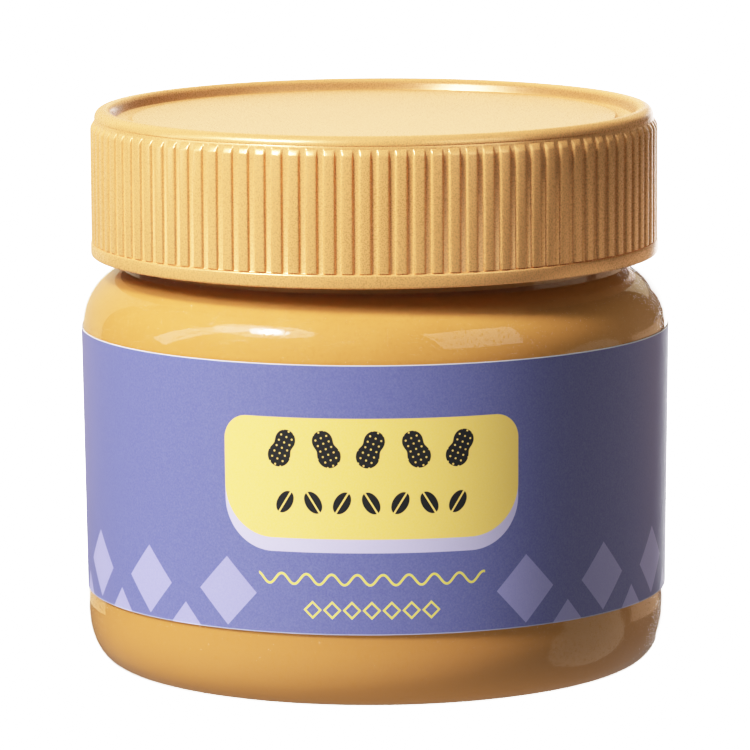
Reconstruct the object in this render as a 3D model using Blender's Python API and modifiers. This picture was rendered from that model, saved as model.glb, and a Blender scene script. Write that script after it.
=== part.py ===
"""A 200 g peanut butter jar: a clear plastic jar, its filling, a wrap label and a ribbed screw cap.

Metres, +Z up. The origin is the centre of the base, on the surface that the jar stands on, and -Y is the
front. Every piece is turned about Z, so a profile is a list of (radius, height) points.
"""

import math

import bmesh
import bpy
from mathutils import Matrix

MM = 0.001

# Clear jar, outer side
BODY_RADIUS = 36.5 * MM
BODY_DRAFT = 0.4 * MM
HEEL_WIDTH = 4.6 * MM
HEEL_HEIGHT = 7.2 * MM
HEEL_EXPONENT = 2.3
SHOULDER_CENTRE_RADIUS = 24.0 * MM
SHOULDER_CENTRE_HEIGHT = 41.2 * MM
SHOULDER_RISE = 9.3 * MM
SHOULDER_EXPONENT = 2.46
NECK_RADIUS = 31.3 * MM
MOUTH_HEIGHT = 66.1 * MM
LIP_CHAMFER = 0.4 * MM

# Underside of the jar: a flat standing ring round a shallow push-up
PUSH_UP_OUTER_RADIUS = 28.0 * MM
PUSH_UP_INNER_RADIUS = 24.0 * MM
PUSH_UP_HEIGHT = 1.4 * MM
PUSH_UP_CENTRE_HEIGHT = 1.9 * MM

# Clear jar, inner side
INNER_RADIUS = 34.9 * MM
WALL = 1.2 * MM
NECK_WALL = 1.5 * MM
FLOOR_THICKNESS = 1.3 * MM

# Wrap label, in a recess that leaves it flush with the wall
LABEL_BOTTOM = 9.5 * MM
LABEL_TOP = 42.1 * MM
LABEL_THICKNESS = 0.3 * MM
LABEL_END_GAP = 0.15 * MM

# Filling
FILL_LEVEL = 54.0 * MM

# Cap
CAP_BOTTOM = 51.0 * MM
CAP_BAND_RADIUS = 35.2 * MM
CAP_BAND_HEIGHT = 1.7 * MM
CAP_CORE_RADIUS = 34.55 * MM
CAP_INNER_RADIUS = 33.3 * MM
CAP_EDGE_CHAMFER = 0.3 * MM
CAP_HEIGHT = 69.1 * MM
RIM_OUTER_RADIUS = 34.62 * MM
RIM_INNER_RADIUS = 32.3 * MM
RIM_BEAD_HEIGHT = 1.1 * MM
RIM_FOOT = 67.5 * MM
GROOVE_FLOOR = 67.6 * MM
GROOVE_FLOOR_RADIUS = 32.1 * MM
DISC_RADIUS = 29.9 * MM
DISC_HEIGHT = 67.9 * MM
DISC_EDGE = 0.25 * MM

# Grip ribs on the cap's skirt
RIB_COUNT = 102
RIB_RADIUS = 35.12 * MM
RIB_FACE_WIDTH = 1.22 * MM
RIB_ROOT_WIDTH = 1.56 * MM
RIB_ROOT_RADIUS = 34.2 * MM
RIB_TOP = 67.3 * MM
RIB_TOP_CHAMFER = 0.45 * MM
RIB_BURIED = 0.8 * MM

# Clearance between pieces that touch, and how finely the round shapes are cut
GAP = 0.3 * MM
JAR_STEPS = 60
HEEL_STEPS = 6
SHOULDER_STEPS = 7
RIM_STEPS = 6
SMOOTH_ANGLE = math.radians(28)
MERGE_DISTANCE = 1e-6


def clear_scene():
    for obj in list(bpy.data.objects):
        bpy.data.objects.remove(obj, do_unlink=True)


def collection(name, helpers=False):
    made = bpy.data.collections.new(name)
    made.hide_render = helpers
    bpy.context.scene.collection.children.link(made)
    return made


def plain_material(name, color, roughness, metallic=0.0, transmission=0.0):
    material = bpy.data.materials.new(name)
    material.use_nodes = True
    shader = material.node_tree.nodes["Principled BSDF"]
    shader.inputs["Base Color"].default_value = (*color, 1.0)
    shader.inputs["Roughness"].default_value = roughness
    shader.inputs["Metallic"].default_value = metallic
    shader.inputs["Transmission Weight"].default_value = transmission
    material.diffuse_color = (*color, 1.0 - 0.7 * transmission)
    return material


def oval_arc(centre_radius, centre_height, width, height, start, end, steps, exponent=2.0):
    """Points of a superellipse about a centre. Angles are in degrees: 0 points outwards and 90 points up."""
    points = []
    for step in range(steps + 1):
        angle = math.radians(start + (end - start) * step / steps)
        across, up = math.cos(angle), math.sin(angle)
        radius = centre_radius + width * math.copysign(abs(across) ** (2 / exponent), across)
        points.append((radius, centre_height + height * math.copysign(abs(up) ** (2 / exponent), up)))
    return points


def shoulder_arc(inset, lowest_width, reach, steps):
    """The shoulder's curve from the wall up to the radius `reach`, moved in by `inset` at its top."""
    rise = SHOULDER_RISE - inset
    share = (reach - SHOULDER_CENTRE_RADIUS) / lowest_width
    end = math.degrees(math.acos(share ** (SHOULDER_EXPONENT / 2)))
    return oval_arc(
        SHOULDER_CENTRE_RADIUS, SHOULDER_CENTRE_HEIGHT, lowest_width, rise, 0, end, steps, SHOULDER_EXPONENT
    )


def turned(name, profile, material, home, steps, closed=False):
    """A solid of revolution. The profile runs down its outer side, and a closed one is a ring."""
    count = len(profile)
    edges = [(i, i + 1) for i in range(count - 1)]
    if closed:
        edges.append((count - 1, 0))
    mesh = bpy.data.meshes.new(name)
    mesh.from_pydata([(radius, 0.0, height) for radius, height in profile], edges, [])
    obj = bpy.data.objects.new(name, mesh)
    home.objects.link(obj)
    mesh.materials.append(material)
    screw = obj.modifiers.new("Turn", "SCREW")
    screw.axis = "Z"
    screw.steps = steps
    screw.render_steps = steps
    screw.use_merge_vertices = True
    screw.merge_threshold = MERGE_DISTANCE
    return obj


def apply_modifiers(obj):
    """Turns the object's evaluated shape into its own mesh, shaded smooth but for its true edges."""
    bpy.context.view_layer.update()
    graph = bpy.context.evaluated_depsgraph_get()
    mesh = bpy.data.meshes.new_from_object(obj.evaluated_get(graph))
    obj.modifiers.clear()
    obj.data = mesh
    mesh.shade_smooth()
    mesh.set_sharp_from_angle(angle=SMOOTH_ANGLE)


def jar_inner_profile():
    """The jar's inside from the middle of its floor up to the mouth."""
    heel_radius = PUSH_UP_OUTER_RADIUS + HEEL_WIDTH / 2
    wall_foot = INNER_RADIUS - BODY_DRAFT
    heel_width = wall_foot - heel_radius
    heel_height = HEEL_HEIGHT - FLOOR_THICKNESS
    neck_inner = NECK_RADIUS - NECK_WALL
    floor = [
        (0.0, PUSH_UP_CENTRE_HEIGHT + FLOOR_THICKNESS),
        (PUSH_UP_INNER_RADIUS, PUSH_UP_HEIGHT + FLOOR_THICKNESS),
        (PUSH_UP_OUTER_RADIUS, FLOOR_THICKNESS),
    ]
    heel = oval_arc(
        heel_radius, HEEL_HEIGHT, heel_width, heel_height, -90, 0, HEEL_STEPS, HEEL_EXPONENT
    )
    shoulder = shoulder_arc(WALL, INNER_RADIUS - SHOULDER_CENTRE_RADIUS, neck_inner, SHOULDER_STEPS)
    return floor + heel + shoulder + [(neck_inner, MOUTH_HEIGHT)]


def jar_outer_profile():
    """The jar's outside from the mouth down to the middle of its underside."""
    wall_foot = BODY_RADIUS - BODY_DRAFT
    recess = BODY_RADIUS - LABEL_THICKNESS - GAP
    shoulder_width = BODY_RADIUS - SHOULDER_CENTRE_RADIUS
    shoulder = shoulder_arc(0.0, shoulder_width, NECK_RADIUS, SHOULDER_STEPS)
    above_label = [point for point in reversed(shoulder) if point[1] > LABEL_TOP + LABEL_END_GAP]
    heel = oval_arc(
        wall_foot - HEEL_WIDTH, HEEL_HEIGHT, HEEL_WIDTH, HEEL_HEIGHT, 0, -90, HEEL_STEPS, HEEL_EXPONENT
    )
    return [
        (NECK_RADIUS - LIP_CHAMFER, MOUTH_HEIGHT),
        (NECK_RADIUS, MOUTH_HEIGHT - LIP_CHAMFER),
        *above_label,
        (BODY_RADIUS, LABEL_TOP + LABEL_END_GAP),
        (recess, LABEL_TOP + LABEL_END_GAP),
        (recess - BODY_DRAFT, LABEL_BOTTOM - LABEL_END_GAP),
        (wall_foot, LABEL_BOTTOM - LABEL_END_GAP),
        *heel,
        (PUSH_UP_OUTER_RADIUS, 0.0),
        (PUSH_UP_INNER_RADIUS, PUSH_UP_HEIGHT),
        (0.0, PUSH_UP_CENTRE_HEIGHT),
    ]


def make_jar(home):
    material = plain_material("Clear plastic", (0.95, 0.92, 0.86), roughness=0.05, transmission=1.0)
    jar = turned("jar", jar_inner_profile() + jar_outer_profile(), material, home, JAR_STEPS)
    apply_modifiers(jar)


def make_filling(home):
    """Peanut butter follows the jar's inside, a gap away, up to a flat top in the neck."""
    inside = [(radius - GAP, height) for radius, height in jar_inner_profile()[1:-1]]
    lifted = [(radius, height + GAP) for radius, height in inside if height < HEEL_HEIGHT]
    upright = [(radius, height) for radius, height in inside if HEEL_HEIGHT <= height < SHOULDER_CENTRE_HEIGHT]
    lowered = [(radius, height - GAP) for radius, height in inside if height >= SHOULDER_CENTRE_HEIGHT]
    top_radius = lowered[-1][0]
    outer = [(0.0, FILL_LEVEL), (top_radius, FILL_LEVEL)] + lowered[::-1] + upright[::-1] + lifted[::-1]
    foot = (0.0, PUSH_UP_CENTRE_HEIGHT + FLOOR_THICKNESS + GAP)
    material = plain_material("Peanut butter", (0.52, 0.27, 0.09), roughness=0.55)
    filling = turned("peanut_butter", outer + [foot], material, home, JAR_STEPS)
    apply_modifiers(filling)


def make_label(home):
    foot_radius = BODY_RADIUS - BODY_DRAFT
    profile = [
        (BODY_RADIUS, LABEL_TOP),
        (foot_radius, LABEL_BOTTOM),
        (foot_radius - LABEL_THICKNESS, LABEL_BOTTOM),
        (BODY_RADIUS - LABEL_THICKNESS, LABEL_TOP),
    ]
    material = plain_material("Printed label", (0.17, 0.18, 0.48), roughness=0.45)
    label = turned("label", profile, material, home, JAR_STEPS, closed=True)
    apply_modifiers(label)


def cap_profile():
    """The cap without its ribs, from the middle of its top, down the outer side and up the inner one."""
    bead_width = (RIM_OUTER_RADIUS - RIM_INNER_RADIUS) / 2
    bead_centre = (RIM_OUTER_RADIUS + RIM_INNER_RADIUS) / 2
    bead_foot = CAP_HEIGHT - RIM_BEAD_HEIGHT
    band_top = CAP_BOTTOM + CAP_BAND_HEIGHT
    panel = [
        (0.0, DISC_HEIGHT),
        (DISC_RADIUS, DISC_HEIGHT),
        (DISC_RADIUS + DISC_EDGE, GROOVE_FLOOR),
        (GROOVE_FLOOR_RADIUS, GROOVE_FLOOR),
    ]
    bead = oval_arc(bead_centre, bead_foot, bead_width, RIM_BEAD_HEIGHT, 180, 0, RIM_STEPS)
    skirt = [
        (RIM_OUTER_RADIUS, RIM_FOOT),
        (CAP_CORE_RADIUS, RIM_FOOT),
        (CAP_CORE_RADIUS, band_top),
        (CAP_BAND_RADIUS, band_top),
        (CAP_BAND_RADIUS, CAP_BOTTOM + CAP_EDGE_CHAMFER),
        (CAP_BAND_RADIUS - CAP_EDGE_CHAMFER, CAP_BOTTOM),
    ]
    inside = [
        (CAP_INNER_RADIUS, CAP_BOTTOM),
        (CAP_INNER_RADIUS, MOUTH_HEIGHT + GAP - CAP_EDGE_CHAMFER),
        (CAP_INNER_RADIUS - CAP_EDGE_CHAMFER, MOUTH_HEIGHT + GAP),
        (0.0, MOUTH_HEIGHT + GAP),
    ]
    return panel + bead + skirt + inside


def rib_shape():
    """One grip rib, pointing along +X: a bar narrower at its face, with a chamfer at the face's top."""
    foot = CAP_BOTTOM + CAP_BAND_HEIGHT - RIB_BURIED
    shape = bmesh.new()
    bmesh.ops.create_cube(shape, size=1.0)
    for vertex in shape.verts:
        on_face = vertex.co.x > 0
        width = RIB_FACE_WIDTH if on_face else RIB_ROOT_WIDTH
        vertex.co.x = RIB_RADIUS if on_face else RIB_ROOT_RADIUS
        vertex.co.y = math.copysign(width / 2, vertex.co.y)
        vertex.co.z = RIB_TOP if vertex.co.z > 0 else foot
    upper = [
        edge for edge in shape.edges
        if all(vertex.co.x == RIB_RADIUS and vertex.co.z == RIB_TOP for vertex in edge.verts)
    ]
    bmesh.ops.bevel(shape, geom=upper, offset=RIB_TOP_CHAMFER, segments=1, affect="EDGES")
    return shape


def make_ribs(material, helpers):
    """All the ribs as one helper, each in the middle of a facet of the cap's core."""
    pitch = 2 * math.pi / RIB_COUNT
    ribs = bmesh.new()
    single = bpy.data.meshes.new("rib")
    shape = rib_shape()
    shape.to_mesh(single)
    shape.free()
    for index in range(RIB_COUNT):
        first = len(ribs.verts)
        ribs.from_mesh(single)
        ribs.verts.ensure_lookup_table()
        turn = Matrix.Rotation((index + 0.5) * pitch, 4, "Z")
        bmesh.ops.transform(ribs, matrix=turn, verts=ribs.verts[first:])
    mesh = bpy.data.meshes.new("ribs")
    ribs.to_mesh(mesh)
    ribs.free()
    bpy.data.meshes.remove(single)
    mesh.materials.append(material)
    obj = bpy.data.objects.new("ribs", mesh)
    obj.hide_render = True
    obj.display_type = "WIRE"
    helpers.objects.link(obj)
    return obj


def make_cap(home, helpers):
    material = plain_material("Gold plastic", (0.62, 0.40, 0.17), roughness=0.38, metallic=0.25)
    cap = turned("cap", cap_profile(), material, home, RIB_COUNT)
    ribs = make_ribs(material, helpers)
    join = cap.modifiers.new("Ribs", "BOOLEAN")
    join.operation = "UNION"
    join.object = ribs
    apply_modifiers(cap)
    bpy.data.objects.remove(ribs, do_unlink=True)
    # Half a pitch brings a groove, not a rib, to the front.
    cap.rotation_euler.z = math.pi / RIB_COUNT


def main():
    clear_scene()
    home = collection("Peanut butter jar")
    helpers = collection("Cutters", helpers=True)
    make_jar(home)
    make_filling(home)
    make_label(home)
    make_cap(home, helpers)


main()
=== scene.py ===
"""The looks of a peanut butter jar: clear wall, filling, printed wrap label and ribbed gold cap.

Metres, +Z up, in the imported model's frame. -Y is the front, and an angle about Z is 0 there and grows to
the right. Each piece but the label is an outline, a list of (radius, height) points, turned about Z.
"""

import math

import bpy
from mathutils import Matrix, Quaternion, Vector

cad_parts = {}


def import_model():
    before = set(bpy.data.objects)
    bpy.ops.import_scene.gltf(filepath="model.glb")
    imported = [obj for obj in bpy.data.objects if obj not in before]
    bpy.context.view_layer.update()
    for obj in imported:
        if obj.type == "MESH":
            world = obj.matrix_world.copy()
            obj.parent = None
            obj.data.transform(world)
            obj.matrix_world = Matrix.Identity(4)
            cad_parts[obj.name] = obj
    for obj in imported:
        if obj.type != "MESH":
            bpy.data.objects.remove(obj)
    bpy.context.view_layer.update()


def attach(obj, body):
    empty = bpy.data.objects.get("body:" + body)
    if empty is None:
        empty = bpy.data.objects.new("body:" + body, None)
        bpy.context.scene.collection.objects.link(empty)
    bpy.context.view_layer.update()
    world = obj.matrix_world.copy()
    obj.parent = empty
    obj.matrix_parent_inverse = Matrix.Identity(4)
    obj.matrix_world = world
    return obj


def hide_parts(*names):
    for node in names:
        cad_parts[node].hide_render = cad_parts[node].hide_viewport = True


MM = 0.001

# Camera, fitted to the photo
CAMERA_TARGET = Vector((-0.05, 0.0, 35.36)) * MM
CAMERA_DISTANCE = 729.4 * MM
CAMERA_ELEVATION = math.radians(8.74)
CAMERA_ROLL = math.radians(-0.36)
CAMERA_LENS = 280.9
SENSOR_WIDTH = 36.0
CAMERA_NEAR = 0.05
CAMERA_FAR = 20.0

# Clear wall. The label stands proud of it by the paper's thickness, and below it the wall steps out.
BODY_RADIUS = 36.5 * MM
BODY_DRAFT = 0.4 * MM
PAPER = 0.1 * MM
WALL_STEP_TOP = 0.5 * MM
WALL_STEP_FOOT = 1.0 * MM
WALL_THICKNESS = 1.2 * MM
HEEL_WIDTH = 4.6 * MM
HEEL_HEIGHT = 7.2 * MM
HEEL_EXPONENT = 2.3
SHOULDER_CENTRE_RADIUS = 24.0 * MM
SHOULDER_CENTRE_HEIGHT = 41.2 * MM
SHOULDER_RISE = 9.3 * MM
SHOULDER_EXPONENT = 2.46
NECK_RADIUS = 31.3 * MM
NECK_WALL = 1.5 * MM
MOUTH_HEIGHT = 66.1 * MM
LIP_ROUND = 0.4 * MM
PUSH_UP_OUTER_RADIUS = 28.0 * MM
PUSH_UP_INNER_RADIUS = 24.0 * MM
PUSH_UP_HEIGHT = 1.4 * MM
PUSH_UP_ROUND_WIDTH = 1.0 * MM
PUSH_UP_ROUND_RISE = 0.1 * MM
PUSH_UP_CENTRE_HEIGHT = 1.9 * MM

# Filling. A clear wall bends light so that its contents seem to reach its outer side. Here they nearly do.
FILLING_INSET = 0.15 * MM
FILLING_NECK_OVERLAP = 0.1 * MM
FILL_LEVEL = 54.0 * MM
FILL_TOP_RING = 0.96

# Label, a strip whose first end is tucked under its last. Rows of narrow faces run along its edges.
LABEL_BOTTOM = 9.5 * MM
LABEL_TOP = 42.1 * MM
LABEL_EDGE_ROW = 0.06 * MM
LABEL_THICKNESS = 0.9 * PAPER
LABEL_COLUMNS = 288
OVERLAP = math.radians(5)
TUCK = math.radians(4)
TUCK_DEPTH = 1.15 * PAPER

# Cap. Its grooves are cut between the ribs, and the rim's groove runs round the disc.
CAP_BOTTOM = 51.0 * MM
CAP_HEIGHT = 69.1 * MM
CAP_INNER_RADIUS = 33.3 * MM
CAP_ROOF = 66.4 * MM
CAP_INNER_BEVEL = 0.3 * MM
BAND_RADIUS = 35.2 * MM
BAND_TOP = 52.7 * MM
BAND_ROUND = 0.25 * MM
RIB_COUNT = 102
RIB_FACE_RADIUS = 35.12 * MM
RIB_ROOT_RADIUS = 34.80 * MM
RIB_TOP = 67.56 * MM
GROOVE_FOOT_RISE = 0.12 * MM
GROOVE_FOOT_RUN = 0.08 * MM
RIM_OUTER_RADIUS = 34.62 * MM
RIM_INNER_RADIUS = 32.3 * MM
RIM_BEAD_HEIGHT = 1.1 * MM
RIM_WALL_FOOT = 67.78 * MM
RIM_WALL_LEAN = math.radians(27)
RIM_WALL_SHARES = (1.0, 0.9, 0.5, 0.1)
RIM_GROOVE_FLOOR = 67.6 * MM
RIM_GROOVE_FILLET = 1.0 * MM
DISC_RADIUS = 29.9 * MM
DISC_HEIGHT = 67.9 * MM
DISC_MARGIN = 0.4 * MM
DISC_EDGE_RUN = 0.25 * MM
DISC_EDGE_ROUND = 0.02 * MM
DISC_FOOT_RUN = 0.375 * MM
DISC_FOOT_ROUND = 0.04 * MM

# One rib across: (share of half a pitch from its middle, share of its depth)
RIB_SECTION = (
    (0.00, 1.00), (0.24, 0.99), (0.44, 0.96), (0.54, 0.88), (0.60, 0.72), (0.645, 0.46),
    (0.68, 0.18), (0.71, 0.04), (0.76, 0.00),
)
# One rib's top end: (distance below its top in mm, share of its depth)
RIB_END = ((0.00, 0.0), (0.08, 0.22), (0.24, 0.48), (0.46, 0.76), (0.66, 0.93), (0.86, 1.0))
# The fine line under the rim: (distance below the rim's bead, depth), both in mm
RIM_LINE = ((0.05, 0.08), (0.14, 0.01))

SEGMENTS = 256
SMOOTH_ANGLE = math.radians(40)

# Print, in millimetres: across is the arc from the middle of the front, and up is the height
PANEL_CENTRE = (-0.6, 28.4)
PANEL_HALF = (18.35, 7.3)
PANEL_TOP_CORNER = 3.0
PANEL_FOOT_CORNER = 6.2
PANEL_DROP = 1.65
POD_ROW = 32.0
POD_PITCH = 5.4
POD_COUNT = 5
POD_LOBE = (1.42, 1.26)
POD_SPREAD = (0.95, 1.05)
POD_WAIST = 1.1
POD_LEAN = math.radians(24)
POD_PIT_PITCH = 0.72
POD_PIT_RADIUS = 0.11
KERNEL_ROW = 25.5
KERNEL_PITCH = 3.5
KERNEL_COUNT = 7
KERNEL_HALF = (0.95, 1.45)
KERNEL_SEAM = 0.2
KERNEL_LEAN = math.radians(32)
WAVE_ROW = 16.2
WAVE_LENGTH = 3.1
WAVE_COUNT = 9
WAVE_HEIGHT = 0.62
WAVE_WIDTH = 0.28
DIAMOND_ROW = 12.5
DIAMOND_PITCH = 2.4
DIAMOND_COUNT = 7
DIAMOND_HALF = 0.95
DIAMOND_LINE = 0.34
LOZENGE_ROW = 14.2
LOZENGE_HALF = (4.0, 4.2)
SMALL_LOZENGE_ROW = 9.6
SMALL_LOZENGE_HALF = (2.3, 2.6)
LOZENGE_PITCH = 12.6
LOZENGE_FREE = 14.9
PRINT_EDGE = 0.03
CUT_EDGE_START = 0.08
CUT_EDGE_END = 0.14

# Colours, in linear light
BLUE_INK = (0.100, 0.106, 0.277)
BLUE_INK_WORN = (0.112, 0.118, 0.300)
YELLOW_INK = (0.91, 0.60, 0.130)
BRIGHT_YELLOW_INK = (0.80, 0.66, 0.10)
LILAC_INK = (0.50, 0.46, 0.68)
PALE_BLUE_INK = (0.285, 0.275, 0.53)
CHARCOAL_INK = (0.012, 0.012, 0.013)
PAPER_WHITE = (0.88, 0.87, 0.86)
PEANUT_BUTTER = (0.56, 0.250, 0.062)
PEANUT_BUTTER_DARK = (0.53, 0.230, 0.054)
PEANUT_BUTTER_LOW = (0.475, 0.209, 0.058)
# Painted shadow: the dark line along the filling's foot, where the jar stands
PAINTED_FOOT_SHADOW = (0.06, 0.026, 0.010)
PEANUT_BUTTER_GRAIN = (0.47, 0.195, 0.042)
GOLD = (0.84, 0.400, 0.134)
GOLD_DARK = (0.77, 0.362, 0.116)
GOLD_GRAIN = (0.66, 0.285, 0.084)
# Painted shade on the rim's inner wall
PAINTED_RIM_SHADE = (0.46, 0.215, 0.075)
CLEAR_GLOSS = (1.0, 0.99, 0.97)
CLEAR_TINT = (1.0, 0.985, 0.95)
FLOOR_WHITE = (0.93, 0.93, 0.93)
FLOOR_PALE = (0.9207, 0.9207, 0.9207)
WHITE = (1.0, 1.0, 1.0)
WORLD_WHITE = (1.0, 0.99, 0.97)

# Gloss. A roughness runs from a surface's smoothest places to its roughest.
LABEL_ROUGHNESS = (0.36, 0.46)
LABEL_SPECULAR = 0.2
FILLING_ROUGHNESS = (0.55, 0.7)
FILLING_SPECULAR = 0.1
CLEAR_ROUGHNESS = (0.04, 0.07)
CLEAR_IOR = 1.45
CAP_ROUGHNESS = (0.22, 0.34)
CAP_METALLIC = 0.3
FLOOR_ROUGHNESS = 0.9

# How much of a second colour is laid over the first at most
TOP_EDGE_WHITE = 0.75
FOOT_EDGE_WHITE = 0.3
PAPER_GRAIN = 0.045
FILLING_SPECKS = 0.5
# How much of the painted shadow lies on the filling's foot
FOOT_SHADOW_SHARE = 0.8
CAP_PATCHES = 0.5
CAP_FLAKES = 0.6

# Painted shade on the filling's foot and on the rim's inner wall: how far it is at full strength, and where
# it ends
FOOT_SHADOW_FULL = 0.18 * MM
FOOT_SHADOW_END = 0.50 * MM
RIM_SHADE_FULL = 0.1 * MM
RIM_SHADE_END = 0.5 * MM

# Relief, in millimetres. The clear wall's pits are a share of its ripples.
LABEL_RELIEF = 0.012
FILLING_RELIEF = 0.02
CLEAR_RELIEF = 0.15
CLEAR_PITS = 0.18
CAP_RELIEF = 0.008

# Floor
FLOOR_HALF = 3.0
FLOOR_GLOW = 4.0

# Lights stand at one distance round the jar's middle. The world's strengths are for its own light.
LIGHT_CENTRE = Vector((0.0, 0.0, 35.0)) * MM
LIGHT_DISTANCE = 900 * MM
WALL_LIGHT = 0.02
TABLE_LIGHT = 0.26
ROOM_LIGHT = 0.02

# Tone curve: where its soft shoulder starts, and the light that comes out white
TONE_KNEE = 0.25
TONE_WHITE = 4.0
TONE_STEPS = 32


# Meshes

def oval_arc(centre_radius, centre_height, width, height, start, end, steps, exponent=2.0):
    """Points of a superellipse about a centre. Angles are in degrees: 0 points outwards and 90 points up."""
    points = []
    for step in range(steps + 1):
        angle = math.radians(start + (end - start) * step / steps)
        across, up = math.cos(angle), math.sin(angle)
        radius = centre_radius + width * math.copysign(abs(across) ** (2 / exponent), across)
        points.append((radius, centre_height + height * math.copysign(abs(up) ** (2 / exponent), up)))
    return points


def quarter(radius, height, size, steps):
    """A rounded upper corner, whose sides would meet at the radius and height."""
    return oval_arc(radius - size, height - size, size, size, 90, 0, steps)


def new_piece(name, vertices, faces):
    mesh = bpy.data.meshes.new(name)
    mesh.from_pydata(vertices, [], faces)
    mesh.validate()
    piece = bpy.data.objects.new(name, mesh)
    bpy.context.scene.collection.objects.link(piece)
    mesh.shade_smooth()
    mesh.set_sharp_from_angle(angle=SMOOTH_ANGLE)
    return piece


def turned(name, outline, columns=SEGMENTS, radius_at=None):
    """Turns an outline that starts and ends on the axis. radius_at may change a ring's radius by column."""
    vertices = [(0.0, 0.0, outline[0][1])]
    rings = outline[1:-1]
    for row, (radius, height) in enumerate(rings):
        for column in range(columns):
            if radius_at:
                angle, reach = radius_at(row, column, radius)
            else:
                angle, reach = 2 * math.pi * column / columns, radius
            vertices.append((reach * math.sin(angle), -reach * math.cos(angle), height))
    vertices.append((0.0, 0.0, outline[-1][1]))
    last = len(vertices) - 1
    faces = []
    for column in range(columns):
        following = (column + 1) % columns
        faces.append((0, 1 + column, 1 + following))
        for row in range(len(rings) - 1):
            upper = 1 + row * columns
            lower = upper + columns
            faces.append((upper + column, lower + column, lower + following, upper + following))
        foot = 1 + (len(rings) - 1) * columns
        faces.append((last, foot + following, foot + column))
    return new_piece(name, vertices, faces)


def shoulder(inset, start, end, steps):
    """The shoulder's curve, `inset` inside the clear wall's outer side."""
    width = BODY_RADIUS - PAPER - inset - SHOULDER_CENTRE_RADIUS
    rise = SHOULDER_RISE - inset
    return oval_arc(
        SHOULDER_CENTRE_RADIUS, SHOULDER_CENTRE_HEIGHT, width, rise, start, end, steps, SHOULDER_EXPONENT
    )


def heel(inset, start, end, steps):
    """The heel's curve, `inset` inside the clear wall's outer side."""
    foot_radius = BODY_RADIUS - BODY_DRAFT - HEEL_WIDTH
    width = HEEL_WIDTH - inset
    height = HEEL_HEIGHT - inset
    return oval_arc(foot_radius, HEEL_HEIGHT, width, height, start, end, steps, HEEL_EXPONENT)


def neck_angle(inset, radius):
    """Where on the shoulder's curve a radius lies, in degrees."""
    width = BODY_RADIUS - PAPER - inset - SHOULDER_CENTRE_RADIUS
    share = (radius - SHOULDER_CENTRE_RADIUS) / width
    return math.degrees(math.acos(share ** (SHOULDER_EXPONENT / 2)))


def make_jar():
    """The clear shell: its outer side from mouth to underside, then its inner side from floor to mouth."""
    neck_inner = NECK_RADIUS - NECK_WALL
    wall_foot = BODY_RADIUS - BODY_DRAFT
    outer = [
        (neck_inner, MOUTH_HEIGHT - LIP_ROUND),
        (neck_inner + LIP_ROUND, MOUTH_HEIGHT),
        *quarter(NECK_RADIUS, MOUTH_HEIGHT, LIP_ROUND, steps=4),
        *shoulder(0.0, neck_angle(0.0, NECK_RADIUS), 0, steps=28),
        (wall_foot - PAPER, LABEL_BOTTOM - WALL_STEP_TOP),
        (wall_foot, LABEL_BOTTOM - WALL_STEP_FOOT),
        *heel(0.0, 0, -90, steps=18),
        (PUSH_UP_OUTER_RADIUS, 0.0),
        (PUSH_UP_INNER_RADIUS, PUSH_UP_HEIGHT),
        (PUSH_UP_INNER_RADIUS - PUSH_UP_ROUND_WIDTH, PUSH_UP_HEIGHT + PUSH_UP_ROUND_RISE),
    ]
    inner = [
        (PUSH_UP_INNER_RADIUS, PUSH_UP_HEIGHT + WALL_THICKNESS),
        (PUSH_UP_OUTER_RADIUS, WALL_THICKNESS),
        *heel(WALL_THICKNESS, -90, 0, steps=10),
        *shoulder(WALL_THICKNESS, 0, neck_angle(WALL_THICKNESS, neck_inner), steps=14),
    ]
    start = (0.0, PUSH_UP_CENTRE_HEIGHT + WALL_THICKNESS)
    end = (0.0, PUSH_UP_CENTRE_HEIGHT)
    return turned("jar_shell", [start] + inner + outer + [end])


def make_filling():
    """The filling reaches into the wall all round, so that no gap shows between them."""
    top_radius = NECK_RADIUS - NECK_WALL + FILLING_NECK_OVERLAP
    side = [
        (top_radius, FILL_LEVEL),
        *shoulder(FILLING_INSET, neck_angle(FILLING_INSET, top_radius), 0, steps=24),
        (BODY_RADIUS - BODY_DRAFT - PAPER - FILLING_INSET, LABEL_BOTTOM),
        *heel(FILLING_INSET, 0, -90, steps=16),
        (PUSH_UP_OUTER_RADIUS, FILLING_INSET),
        (PUSH_UP_INNER_RADIUS, PUSH_UP_HEIGHT + FILLING_INSET),
    ]
    top = [(0.0, FILL_LEVEL), (top_radius * FILL_TOP_RING, FILL_LEVEL)]
    return turned("filling", top + side + [(0.0, PUSH_UP_CENTRE_HEIGHT + FILLING_INSET)])


def make_label():
    """A paper strip once round the body, tucked under its own end at the back."""
    start, end = -math.pi, math.pi + OVERLAP
    heights = (LABEL_BOTTOM, LABEL_BOTTOM + LABEL_EDGE_ROW, LABEL_TOP - LABEL_EDGE_ROW, LABEL_TOP)
    vertices = []
    places = []
    for column in range(LABEL_COLUMNS + 1):
        angle = start + (end - start) * column / LABEL_COLUMNS
        rise = min(max((angle - start - OVERLAP) / TUCK, 0.0), 1.0)
        sunk = TUCK_DEPTH * (1 - rise * rise * (3 - 2 * rise))
        for depth in (0.0, LABEL_THICKNESS):
            for height in heights:
                radius = BODY_RADIUS - BODY_DRAFT * (LABEL_TOP - height) / (LABEL_TOP - LABEL_BOTTOM)
                reach = radius - sunk - depth
                vertices.append((reach * math.sin(angle), -reach * math.cos(angle), height))
                places.append((angle * BODY_RADIUS / MM, height / MM))
    label = new_piece("label_sheet", vertices, label_faces(len(heights)))
    layer = label.data.uv_layers.new(name="print")
    for loop in label.data.loops:
        layer.data[loop.index].uv = places[loop.vertex_index]
    return label


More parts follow.
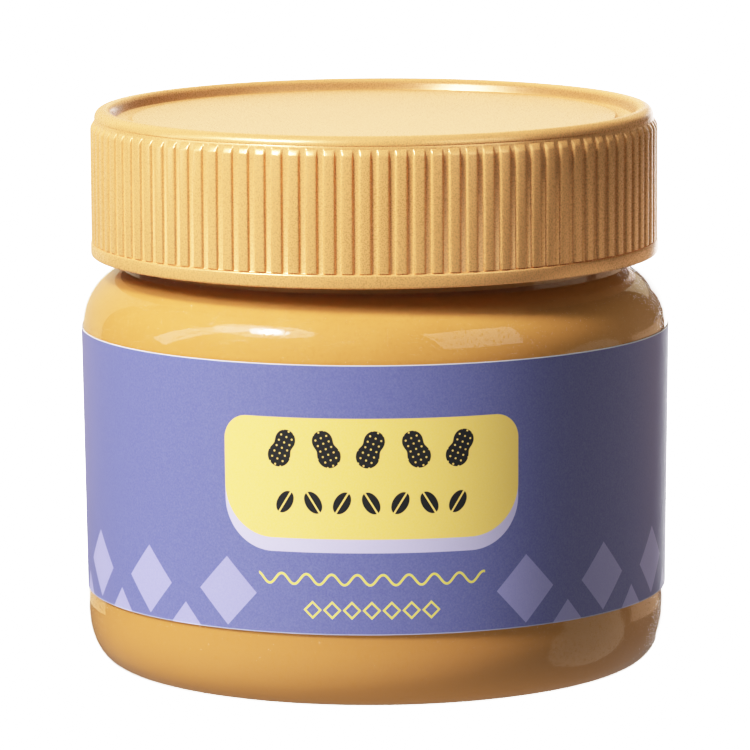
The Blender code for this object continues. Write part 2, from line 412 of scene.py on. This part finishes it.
def label_faces(rows):
    """The strip's outer and inner side, its lower and upper edge, and its two ends."""
    faces = []
    for column in range(LABEL_COLUMNS):
        here = column * 2 * rows
        there = here + 2 * rows
        for row in range(rows - 1):
            outer = here + row
            across = there + row
            faces.append((outer, across, across + 1, outer + 1))
            faces.append((outer + rows + 1, across + rows + 1, across + rows, outer + rows))
        faces.append((here, here + rows, there + rows, there))
        top = rows - 1
        faces.append((here + top, there + top, there + top + rows, here + top + rows))
    for column in (0, LABEL_COLUMNS):
        here = column * 2 * rows
        for row in range(rows - 1):
            edge = (here + row, here + row + 1, here + row + 1 + rows, here + row + rows)
            faces.append(edge if column == 0 else edge[::-1])
    return faces


def cap_outline():
    """The cap's outline from the middle of its top, down the outer side and up the inner one."""
    bead_width = (RIM_OUTER_RADIUS - RIM_INNER_RADIUS) / 2
    bead_centre = (RIM_OUTER_RADIUS + RIM_INNER_RADIUS) / 2
    bead_foot = CAP_HEIGHT - RIM_BEAD_HEIGHT
    # The bead's inner side ends in a straight wall that leans outwards.
    wall_angle = 180 - math.degrees(RIM_WALL_LEAN)
    bead = oval_arc(bead_centre, bead_foot, bead_width, RIM_BEAD_HEIGHT, wall_angle, 0, steps=14)
    wall_radius, wall_top = bead[0]
    wall_rise = wall_top - RIM_WALL_FOOT
    wall_run = wall_rise * math.tan(RIM_WALL_LEAN)
    wall = [(wall_radius - wall_run * share, wall_top - wall_rise * share) for share in RIM_WALL_SHARES]
    fillet_radius = wall[0][0] - RIM_GROOVE_FILLET
    fillet_rise = RIM_WALL_FOOT - RIM_GROOVE_FLOOR
    panel = [
        (0.0, DISC_HEIGHT),
        (DISC_RADIUS - DISC_MARGIN, DISC_HEIGHT),
        (DISC_RADIUS, DISC_HEIGHT - DISC_EDGE_ROUND),
        (DISC_RADIUS + DISC_EDGE_RUN, RIM_GROOVE_FLOOR + DISC_FOOT_ROUND),
        (DISC_RADIUS + DISC_FOOT_RUN, RIM_GROOVE_FLOOR),
        *oval_arc(fillet_radius, RIM_WALL_FOOT, RIM_GROOVE_FILLET, fillet_rise, -90, -8, steps=6),
        *wall,
    ]
    line = [(RIM_OUTER_RADIUS - depth * MM, bead_foot - below * MM) for below, depth in RIM_LINE]
    # The grooves run smoothly out of the rim.
    swell = RIB_ROOT_RADIUS - RIM_OUTER_RADIUS
    longest = RIB_END[-1][0]
    ribs = [(RIM_OUTER_RADIUS + swell * below / longest, RIB_TOP - below * MM) for below, _ in RIB_END]
    ribs += [
        (RIB_ROOT_RADIUS, BAND_TOP + GROOVE_FOOT_RISE),
        (RIB_ROOT_RADIUS + GROOVE_FOOT_RUN, BAND_TOP),
    ]
    band_side = BAND_RADIUS - BAND_ROUND
    band = [
        *quarter(BAND_RADIUS, BAND_TOP, BAND_ROUND, steps=3),
        *oval_arc(band_side, CAP_BOTTOM + BAND_ROUND, BAND_ROUND, BAND_ROUND, 0, -90, steps=3),
    ]
    inside = [
        (CAP_INNER_RADIUS, CAP_BOTTOM),
        (CAP_INNER_RADIUS, CAP_ROOF - CAP_INNER_BEVEL),
        (CAP_INNER_RADIUS - CAP_INNER_BEVEL, CAP_ROOF),
        (0.0, CAP_ROOF),
    ]
    first_rib_row = len(panel) + len(bead) + len(line) - 1
    return panel + bead + line + ribs + band + inside, first_rib_row


def make_cap():
    outline, first_rib_row = cap_outline()
    half_pitch = math.pi / RIB_COUNT
    section = [(-share, depth) for share, depth in RIB_SECTION[:0:-1]] + list(RIB_SECTION) + [(1.0, 0.0)]
    rib_rows = [share for _, share in RIB_END] + [1.0]

    def radius_at(row, column, radius):
        rib, place = divmod(column, len(section))
        share, depth = section[place]
        # Half a pitch brings a groove, not a rib, to the front.
        angle = (2 * rib + 1 + share) * half_pitch
        rib_row = row - first_rib_row
        if 0 <= rib_row < len(rib_rows):
            radius += (RIB_FACE_RADIUS - RIB_ROOT_RADIUS) * depth * rib_rows[rib_row]
        return angle, radius

    return turned("cap_shell", outline, RIB_COUNT * len(section), radius_at)


# Shader nodes

def new_material(name):
    material = bpy.data.materials.new(name)
    material.use_nodes = True
    tree = material.node_tree
    return material, tree, tree.nodes["Principled BSDF"]


def calculated(tree, operation, *inputs):
    """A Math node's result. Each input is a number or another node's output."""
    node = tree.nodes.new("ShaderNodeMath")
    node.operation = operation
    for socket, source in zip(node.inputs, inputs):
        if isinstance(source, (int, float)):
            socket.default_value = source
        else:
            tree.links.new(source, socket)
    return node.outputs["Value"]


def mixed_colour(tree, share, first, second):
    """The first colour where share is 0, the second where it is 1. A colour is a tuple or an output."""
    node = tree.nodes.new("ShaderNodeMix")
    node.data_type = "RGBA"
    colours = [socket for socket in node.inputs if socket.type == "RGBA"]
    tree.links.new(share, node.inputs[0])
    for socket, source in zip(colours, (first, second)):
        if isinstance(source, tuple):
            socket.default_value = (*source, 1.0)
        else:
            tree.links.new(source, socket)
    return next(socket for socket in node.outputs if socket.type == "RGBA")


def spread(tree, source, old, new, smooth=False):
    """A value moved from the old range to the new one, and held inside it. A range is (first, last)."""
    node = tree.nodes.new("ShaderNodeMapRange")
    node.interpolation_type = "SMOOTHSTEP" if smooth else "LINEAR"
    tree.links.new(source, node.inputs["Value"])
    node.inputs["From Min"].default_value = old[0]
    node.inputs["From Max"].default_value = old[1]
    node.inputs["To Min"].default_value = new[0]
    node.inputs["To Max"].default_value = new[1]
    return node.outputs["Result"]


def object_place(tree):
    return tree.nodes.new("ShaderNodeTexCoord").outputs["Object"]


def parts_of(tree, place):
    """A vector's three parts."""
    node = tree.nodes.new("ShaderNodeSeparateXYZ")
    tree.links.new(place, node.inputs["Vector"])
    return tuple(node.outputs)


def noise(tree, place, size, detail=3.0, roughness=0.5):
    """Noise from 0 to 1 whose patches are about `size` millimetres across."""
    node = tree.nodes.new("ShaderNodeTexNoise")
    tree.links.new(place, node.inputs["Vector"])
    node.inputs["Scale"].default_value = 1.0 / (size * MM)
    node.inputs["Detail"].default_value = detail
    node.inputs["Roughness"].default_value = roughness
    return node.outputs["Fac"]


def add_bump(tree, shader, height, depth):
    """Raises the surface by up to `depth` millimetres where height is 1."""
    node = tree.nodes.new("ShaderNodeBump")
    node.inputs["Distance"].default_value = depth * MM
    tree.links.new(height, node.inputs["Height"])
    tree.links.new(node.outputs["Normal"], shader.inputs["Normal"])


# Printed shapes, as masks over the label

def inside_of(tree, distance):
    """1 where a distance from a shape's outline is below 0, and 0 outside it."""
    return spread(tree, distance, (-PRINT_EDGE, PRINT_EDGE), (1.0, 0.0), smooth=True)


def length_of(tree, across, up):
    squares = calculated(tree, "MULTIPLY_ADD", up, up, calculated(tree, "MULTIPLY", across, across))
    return calculated(tree, "SQRT", squares)


def rounded_panel(tree, across, up):
    """Distance from the panel's outline, whose lower corners are rounder than its upper ones."""
    is_upper = calculated(tree, "GREATER_THAN", up, 0.0)
    corner = calculated(
        tree, "MULTIPLY_ADD", is_upper, PANEL_TOP_CORNER - PANEL_FOOT_CORNER, PANEL_FOOT_CORNER
    )
    reaches = []
    for place, half in ((across, PANEL_HALF[0]), (up, PANEL_HALF[1])):
        beyond = calculated(tree, "SUBTRACT", calculated(tree, "ABSOLUTE", place), half)
        reaches.append(calculated(tree, "MAXIMUM", calculated(tree, "ADD", beyond, corner), 0.0))
    return calculated(tree, "SUBTRACT", length_of(tree, *reaches), corner)


def row_of(tree, across, count, pitch):
    """Place across within one motif of a row, whether that is in the row, and the motif's number."""
    shifted = calculated(tree, "ADD", across, count * pitch / 2 - PANEL_CENTRE[0])
    number = calculated(tree, "FLOOR", calculated(tree, "DIVIDE", shifted, pitch))
    local = calculated(tree, "SUBTRACT", shifted, calculated(tree, "MULTIPLY", number, pitch))
    local = calculated(tree, "SUBTRACT", local, pitch / 2)
    from_middle = calculated(tree, "ABSOLUTE", calculated(tree, "SUBTRACT", across, PANEL_CENTRE[0]))
    within = calculated(tree, "LESS_THAN", from_middle, count * pitch / 2)
    return local, within, number


def leaning(tree, across, up, number, lean):
    """Turns one motif's own axes by `lean`, and every second motif the other way."""
    # An even number is added first, because the remainder of a negative number would be negative.
    odd = calculated(tree, "MODULO", calculated(tree, "ADD", number, 10.0), 2.0)
    side = calculated(tree, "MULTIPLY_ADD", odd, -2.0, 1.0)
    across = calculated(tree, "MULTIPLY", across, side)
    turned_across = calculated(
        tree, "SUBTRACT",
        calculated(tree, "MULTIPLY", across, math.cos(lean)),
        calculated(tree, "MULTIPLY", up, math.sin(lean)),
    )
    turned_up = calculated(
        tree, "ADD",
        calculated(tree, "MULTIPLY", across, math.sin(lean)),
        calculated(tree, "MULTIPLY", up, math.cos(lean)),
    )
    return turned_across, turned_up


def within_cell(tree, place, pitch):
    """Distance from the middle of the nearest cell in a regular row of cells."""
    # Whole cells are added first, because the remainder of a negative number would be negative.
    moved = calculated(tree, "MODULO", calculated(tree, "ADD", place, 100.5 * pitch), pitch)
    return calculated(tree, "SUBTRACT", moved, pitch / 2)


def pod_mask(tree, across, up):
    """Leaning two-lobed pods with small pits in them."""
    local, within, number = row_of(tree, across, POD_COUNT, POD_PITCH)
    height = calculated(tree, "SUBTRACT", up, POD_ROW)
    across, up = leaning(tree, local, height, number, POD_LEAN)
    lobes = []
    for radius, centre in ((POD_LOBE[0], -POD_SPREAD[0]), (POD_LOBE[1], POD_SPREAD[1])):
        above = calculated(tree, "SUBTRACT", up, centre)
        lobes.append(calculated(tree, "SUBTRACT", length_of(tree, across, above), radius))
    outline = calculated(tree, "SMOOTH_MIN", *lobes, POD_WAIST)
    pit_places = [within_cell(tree, place, POD_PIT_PITCH) for place in (across, up)]
    pits = calculated(tree, "SUBTRACT", POD_PIT_RADIUS, length_of(tree, *pit_places))
    return calculated(tree, "MULTIPLY", inside_of(tree, calculated(tree, "MAXIMUM", outline, pits)), within)


def kernel_mask(tree, across, up):
    """Leaning oval kernels, each with a seam down its middle."""
    local, within, number = row_of(tree, across, KERNEL_COUNT, KERNEL_PITCH)
    height = calculated(tree, "SUBTRACT", up, KERNEL_ROW)
    across, up = leaning(tree, local, height, number, KERNEL_LEAN)
    reach = length_of(tree, across, calculated(tree, "MULTIPLY", up, KERNEL_HALF[0] / KERNEL_HALF[1]))
    oval = calculated(tree, "SUBTRACT", reach, KERNEL_HALF[0])
    seam = calculated(tree, "SUBTRACT", KERNEL_SEAM / 2, calculated(tree, "ABSOLUTE", across))
    return calculated(tree, "MULTIPLY", inside_of(tree, calculated(tree, "MAXIMUM", oval, seam)), within)


def wave_mask(tree, across, up):
    """A thin wavy rule."""
    _, within, _ = row_of(tree, across, WAVE_COUNT, WAVE_LENGTH)
    turn = 2 * math.pi / WAVE_LENGTH
    phase = calculated(tree, "MULTIPLY", across, turn)
    middle = calculated(tree, "MULTIPLY_ADD", calculated(tree, "SINE", phase), WAVE_HEIGHT, WAVE_ROW)
    slope = calculated(tree, "MULTIPLY", calculated(tree, "COSINE", phase), WAVE_HEIGHT * turn)
    steepness = calculated(tree, "SQRT", calculated(tree, "MULTIPLY_ADD", slope, slope, 1.0))
    gap = calculated(tree, "ABSOLUTE", calculated(tree, "SUBTRACT", up, middle))
    line = calculated(tree, "SUBTRACT", calculated(tree, "DIVIDE", gap, steepness), WAVE_WIDTH / 2)
    return calculated(tree, "MULTIPLY", inside_of(tree, line), within)


def diamond_mask(tree, across, up):
    """A short row of fine diamond outlines."""
    local, within, _ = row_of(tree, across, DIAMOND_COUNT, DIAMOND_PITCH)
    height = calculated(tree, "SUBTRACT", up, DIAMOND_ROW)
    reach = calculated(tree, "ADD", calculated(tree, "ABSOLUTE", local), calculated(tree, "ABSOLUTE", height))
    from_line = calculated(tree, "ABSOLUTE", calculated(tree, "SUBTRACT", reach, DIAMOND_HALF))
    line = calculated(tree, "SUBTRACT", from_line, DIAMOND_LINE / 2)
    return calculated(tree, "MULTIPLY", inside_of(tree, line), within)


def lozenge_mask(tree, across, up):
    """Lozenges all round the label's foot, large and small in turn, but for the middle of the front."""
    masks = []
    rows = (
        (LOZENGE_ROW, LOZENGE_HALF, LOZENGE_PITCH / 2),
        (SMALL_LOZENGE_ROW, SMALL_LOZENGE_HALF, 0.0),
    )
    for row, half, shift in rows:
        local = within_cell(tree, calculated(tree, "ADD", across, shift), LOZENGE_PITCH)
        side = calculated(tree, "DIVIDE", calculated(tree, "ABSOLUTE", local), half[0])
        height = calculated(tree, "ABSOLUTE", calculated(tree, "SUBTRACT", up, row))
        reach = calculated(tree, "MULTIPLY_ADD", height, 1 / half[1], side)
        distance = calculated(tree, "MULTIPLY", calculated(tree, "SUBTRACT", reach, 1.0), half[0])
        masks.append(inside_of(tree, distance))
    free = calculated(tree, "GREATER_THAN", calculated(tree, "ABSOLUTE", across), LOZENGE_FREE)
    return calculated(tree, "MULTIPLY", calculated(tree, "MAXIMUM", *masks), free)


def label_material():
    material, tree, shader = new_material("printed label")
    layer = tree.nodes.new("ShaderNodeUVMap")
    layer.uv_map = "print"
    across, up, _ = parts_of(tree, layer.outputs["UV"])
    place = object_place(tree)
    panel_across = calculated(tree, "SUBTRACT", across, PANEL_CENTRE[0])
    panel_up = calculated(tree, "SUBTRACT", up, PANEL_CENTRE[1])
    dropped_up = calculated(tree, "ADD", panel_up, PANEL_DROP)
    panel = inside_of(tree, rounded_panel(tree, panel_across, panel_up))
    drop = inside_of(tree, rounded_panel(tree, panel_across, dropped_up))
    dark_marks = calculated(tree, "MAXIMUM", pod_mask(tree, across, up), kernel_mask(tree, across, up))
    top, foot = LABEL_TOP / MM, LABEL_BOTTOM / MM
    top_edge = spread(tree, up, (top - CUT_EDGE_END, top - CUT_EDGE_START), (0.0, TOP_EDGE_WHITE))
    foot_edge = spread(tree, up, (foot + CUT_EDGE_START, foot + CUT_EDGE_END), (FOOT_EDGE_WHITE, 0.0))

    colour = mixed_colour(tree, noise(tree, place, size=0.9, detail=2.0), BLUE_INK, BLUE_INK_WORN)
    colour = mixed_colour(tree, lozenge_mask(tree, across, up), colour, PALE_BLUE_INK)
    colour = mixed_colour(tree, drop, colour, LILAC_INK)
    colour = mixed_colour(tree, panel, colour, YELLOW_INK)
    fine_marks = calculated(tree, "MAXIMUM", wave_mask(tree, across, up), diamond_mask(tree, across, up))
    colour = mixed_colour(tree, fine_marks, colour, BRIGHT_YELLOW_INK)
    colour = mixed_colour(tree, calculated(tree, "MAXIMUM", top_edge, foot_edge), colour, PAPER_WHITE)
    grain = noise(tree, place, size=0.22, detail=2.0, roughness=0.6)
    colour = mixed_colour(tree, spread(tree, grain, (0.35, 0.7), (0.0, PAPER_GRAIN)), colour, PAPER_WHITE)
    colour = mixed_colour(tree, dark_marks, colour, CHARCOAL_INK)
    tree.links.new(colour, shader.inputs["Base Color"])
    tree.links.new(spread(tree, grain, (0.3, 0.7), LABEL_ROUGHNESS), shader.inputs["Roughness"])
    shader.inputs["Specular IOR Level"].default_value = LABEL_SPECULAR
    add_bump(tree, shader, grain, LABEL_RELIEF)
    return material


def filling_material():
    material, tree, shader = new_material("peanut butter")
    place = object_place(tree)
    _, _, up = parts_of(tree, place)
    patches = noise(tree, place, size=7.0, detail=4.0, roughness=0.55)
    specks = noise(tree, place, size=0.5, detail=2.0, roughness=0.6)
    share = spread(tree, patches, (0.35, 0.65), (0.0, 1.0))
    colour = mixed_colour(tree, share, PEANUT_BUTTER, PEANUT_BUTTER_DARK)
    low = spread(tree, up, (LABEL_BOTTOM, LABEL_TOP), (1.0, 0.0), smooth=True)
    colour = mixed_colour(tree, low, colour, PEANUT_BUTTER_LOW)
    grain = spread(tree, specks, (0.50, 0.75), (0.0, FILLING_SPECKS))
    colour = mixed_colour(tree, grain, colour, PEANUT_BUTTER_GRAIN)
    # Painted shadow: the filling's very foot is darkened where the jar stands on the table
    foot = spread(tree, up, (FOOT_SHADOW_FULL, FOOT_SHADOW_END), (FOOT_SHADOW_SHARE, 0.0), smooth=True)
    colour = mixed_colour(tree, foot, colour, PAINTED_FOOT_SHADOW)
    tree.links.new(colour, shader.inputs["Base Color"])
    tree.links.new(spread(tree, patches, (0.3, 0.7), FILLING_ROUGHNESS), shader.inputs["Roughness"])
    shader.inputs["Specular IOR Level"].default_value = FILLING_SPECULAR
    add_bump(tree, shader, specks, FILLING_RELIEF)
    return material


def clear_material():
    """Clear plastic as a gloss over what stands behind it, so that light reaches the filling straight."""
    material, tree, shader = new_material("clear plastic")
    place = object_place(tree)
    ripple = noise(tree, place, size=14.0, detail=2.0, roughness=0.4)
    specks = noise(tree, place, size=0.32, detail=1.0)
    pits = spread(tree, specks, (0.60, 0.74), (0.0, 1.0), smooth=True)
    shader.inputs["Base Color"].default_value = (*CLEAR_GLOSS, 1.0)
    shader.inputs["Metallic"].default_value = 1.0
    tree.links.new(spread(tree, ripple, (0.3, 0.7), CLEAR_ROUGHNESS), shader.inputs["Roughness"])
    add_bump(tree, shader, calculated(tree, "MULTIPLY_ADD", pits, CLEAR_PITS, ripple), CLEAR_RELIEF)
    clear = tree.nodes.new("ShaderNodeBsdfTransparent")
    clear.inputs["Color"].default_value = (*CLEAR_TINT, 1.0)
    fresnel = tree.nodes.new("ShaderNodeFresnel")
    fresnel.inputs["IOR"].default_value = CLEAR_IOR
    # Only the outer side reflects, or the shell would hold back light on its way to the filling.
    backfacing = tree.nodes.new("ShaderNodeNewGeometry").outputs["Backfacing"]
    is_outer = calculated(tree, "SUBTRACT", 1.0, backfacing)
    gloss = calculated(tree, "MULTIPLY", fresnel.outputs["Fac"], is_outer)
    mix = tree.nodes.new("ShaderNodeMixShader")
    tree.links.new(gloss, mix.inputs["Fac"])
    tree.links.new(clear.outputs["BSDF"], mix.inputs[1])
    tree.links.new(shader.outputs["BSDF"], mix.inputs[2])
    tree.links.new(mix.outputs["Shader"], tree.nodes["Material Output"].inputs["Surface"])
    return material


def rim_shade_share(tree, place):
    """1 on the rim's inner wall, where shade is painted darker than the rest, and 0 elsewhere."""
    across, along, up = parts_of(tree, place)
    from_wall = calculated(tree, "SUBTRACT", length_of(tree, across, along), RIM_INNER_RADIUS)
    gap = calculated(tree, "ABSOLUTE", from_wall)
    near = spread(tree, gap, (RIM_SHADE_FULL, RIM_SHADE_END), (1.0, 0.0))
    return calculated(tree, "MULTIPLY", near, calculated(tree, "GREATER_THAN", up, CAP_ROOF))


def cap_material():
    material, tree, shader = new_material("gold plastic")
    place = object_place(tree)
    flakes = noise(tree, place, size=0.18, detail=2.0, roughness=0.7)
    patches = noise(tree, place, size=9.0)
    share = spread(tree, patches, (0.35, 0.65), (0.0, CAP_PATCHES))
    colour = mixed_colour(tree, share, GOLD, GOLD_DARK)
    colour = mixed_colour(tree, spread(tree, flakes, (0.48, 0.75), (0.0, CAP_FLAKES)), colour, GOLD_GRAIN)
    # Painted shade: the rim's inner wall is darkened
    colour = mixed_colour(tree, rim_shade_share(tree, place), colour, PAINTED_RIM_SHADE)
    tree.links.new(colour, shader.inputs["Base Color"])
    shader.inputs["Metallic"].default_value = CAP_METALLIC
    tree.links.new(spread(tree, flakes, (0.3, 0.7), CAP_ROUGHNESS), shader.inputs["Roughness"])
    add_bump(tree, shader, flakes, CAP_RELIEF)
    return material


def floor_material():
    material, tree, shader = new_material("floor")
    grain = noise(tree, object_place(tree), size=30.0)
    tree.links.new(mixed_colour(tree, grain, FLOOR_PALE, FLOOR_WHITE), shader.inputs["Base Color"])
    shader.inputs["Roughness"].default_value = FLOOR_ROUGHNESS
    shader.inputs["Specular IOR Level"].default_value = 0.0
    shader.inputs["Emission Color"].default_value = (*WHITE, 1.0)
    shader.inputs["Emission Strength"].default_value = FLOOR_GLOW
    return material


# Camera, floor and light

def make_camera():
    camera = bpy.data.objects.new("camera", bpy.data.cameras.new("camera"))
    bpy.context.scene.collection.objects.link(camera)
    bpy.context.scene.camera = camera
    camera.data.lens = CAMERA_LENS
    camera.data.sensor_width = SENSOR_WIDTH
    camera.data.clip_start = CAMERA_NEAR
    camera.data.clip_end = CAMERA_FAR
    ahead = Vector((0.0, math.cos(CAMERA_ELEVATION), -math.sin(CAMERA_ELEVATION)))
    right = Vector((1.0, 0.0, 0.0))
    up = right.cross(ahead)
    tilted_right = right * math.cos(CAMERA_ROLL) + up * math.sin(CAMERA_ROLL)
    tilted_up = up * math.cos(CAMERA_ROLL) - right * math.sin(CAMERA_ROLL)
    turn = Matrix((tilted_right, tilted_up, -ahead)).transposed().to_4x4()
    camera.matrix_world = Matrix.Translation(CAMERA_TARGET - ahead * CAMERA_DISTANCE) @ turn


def make_floor():
    corners = [(FLOOR_HALF * x, FLOOR_HALF * y, 0.0) for x, y in ((-1, -1), (1, -1), (1, 1), (-1, 1))]
    floor = new_piece("floor", corners, [(0, 1, 2, 3)])
    floor.data.materials.append(floor_material())
    # The table is seen as white, and the world's lower half stands for the light that it casts up.
    floor.visible_diffuse = False
    floor.visible_glossy = False
    floor.visible_shadow = False


def make_softbox(
    name, azimuth, elevation, width, height, watts, use="both", colour=WHITE, shape="RECTANGLE", roll=0
):
    """A flat light that faces the jar. The azimuth grows from the front to the right. Angles are in degrees.

    A "fill" light isn't mirrored in the jar, and a "gloss" light is only mirrored in it.
    """
    light = bpy.data.lights.new(name, "AREA")
    light.shape = shape
    light.size = width
    light.size_y = height
    light.energy = watts
    light.color = colour
    lamp = bpy.data.objects.new(name, light)
    bpy.context.scene.collection.objects.link(lamp)
    across, up = math.radians(azimuth), math.radians(elevation)
    away = Vector((math.cos(up) * math.sin(across), -math.cos(up) * math.cos(across), math.sin(up)))
    lamp.location = LIGHT_CENTRE + away * LIGHT_DISTANCE
    turn = away.to_track_quat("Z", "Y") @ Quaternion((0.0, 0.0, 1.0), math.radians(roll))
    lamp.rotation_euler = turn.to_euler()
    lamp.visible_camera = False
    lamp.visible_glossy = use != "fill"
    lamp.visible_diffuse = use != "gloss"


def make_world():
    """A faint wall to the left, light from the table below, and a dim room elsewhere."""
    world = bpy.data.worlds.new("studio")
    bpy.context.scene.world = world
    world.use_nodes = True
    tree = world.node_tree
    background = tree.nodes["Background"]
    across, _, up = parts_of(tree, tree.nodes.new("ShaderNodeTexCoord").outputs["Generated"])
    left = spread(tree, across, (-0.8, -0.3), (WALL_LIGHT, 0.0), smooth=True)
    below = spread(tree, up, (-0.5, 0.0), (TABLE_LIGHT, 0.0), smooth=True)
    strength = calculated(tree, "ADD", calculated(tree, "ADD", left, below), ROOM_LIGHT)
    tree.links.new(strength, background.inputs["Strength"])
    background.inputs["Color"].default_value = (*WORLD_WHITE, 1.0)


def light_up():
    make_world()
    # The key, from the upper left: its light first, then its mirror images
    make_softbox("key", -48, 55, 0.16, 0.16, 13.0, "fill")
    make_softbox("key left", -57, 40, 0.20, 0.20, 6.8, "fill")
    make_softbox("key low", -48, 34, 0.20, 0.20, 2.4, "fill")
    make_softbox("key gloss", -48, 41, 0.11, 0.11, 10.0, "gloss", shape="ELLIPSE")
    make_softbox("key glow", -49, 41, 0.24, 0.19, 3.6, "gloss", shape="ELLIPSE")
    make_softbox("key halo", -52, 41, 0.60, 0.34, 2.4, "gloss", shape="ELLIPSE")
    make_softbox("streak", -77, 27, 0.88, 0.16, 2.2, "gloss", roll=54)
    # Light from behind the jar, above it and to its right
    make_softbox("back", 180, 50, 0.4, 0.4, 2.0, "fill")
    make_softbox("top", 0, 85, 0.5, 0.5, 1.8, "fill")
    make_softbox("back right", 166, -5, 0.3, 0.4, 2.2)
    make_softbox("right edge", 128, 2, 0.4, 0.4, 3.2, "fill", (1.0, 0.90, 0.78))
    make_softbox("right fill", 80, -4, 0.4, 0.4, 0.9, "fill")
    # Warm cards that are mirrored in the right side and in the top
    make_softbox("low card", 93, -16, 0.66, 0.60, 0.85, "gloss", (1.0, 0.80, 0.56), "ELLIPSE")
    make_softbox("right card", 134, -7, 0.5, 0.16, 0.24, "gloss", (1.0, 0.66, 0.42))
    make_softbox("back card", 166, 20, 0.6, 0.3, 0.7, "gloss", (1.0, 0.80, 0.52))
    # Light from the lower left, and cards that are mirrored in the shoulder and the cap
    make_softbox("low left", -55, 8, 0.4, 0.4, 0.8, "fill")
    make_softbox("table glow", -45, -35, 0.5, 0.5, 5.4, "fill")
    make_softbox("card", 43, 30, 0.52, 0.46, 1.9, "gloss")
    make_softbox("left card", -158, 20, 0.9, 1.1, 3.6, "gloss", (1.0, 0.78, 0.50))


def tone(light):
    """A camera's response: straight in the darks, then a soft shoulder up to white."""
    if light < TONE_KNEE:
        return light
    room = 1.0 - TONE_KNEE
    return TONE_KNEE + room * (1.0 - math.exp((TONE_KNEE - light) / room))


def set_tone_curve():
    settings = bpy.context.scene.view_settings
    settings.view_transform = "Standard"
    settings.use_curve_mapping = True
    mapping = settings.curve_mapping
    mapping.white_level = (TONE_WHITE, TONE_WHITE, TONE_WHITE)
    mapping.extend = "HORIZONTAL"
    # The last of the four curves acts on all three colours together.
    curve = mapping.curves[3]
    for step in range(1, TONE_STEPS):
        light = TONE_WHITE * (step / TONE_STEPS) ** 2
        curve.points.new(light / TONE_WHITE, tone(light) / tone(TONE_WHITE))
    mapping.update()


def add(piece, material, node):
    piece.data.materials.append(material)
    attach(piece, "root")
    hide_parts(node)


def main():
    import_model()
    add(make_filling(), filling_material(), "peanut_butter")
    add(make_jar(), clear_material(), "jar")
    add(make_label(), label_material(), "label")
    add(make_cap(), cap_material(), "cap")
    make_floor()
    make_camera()
    light_up()
    set_tone_curve()


main()
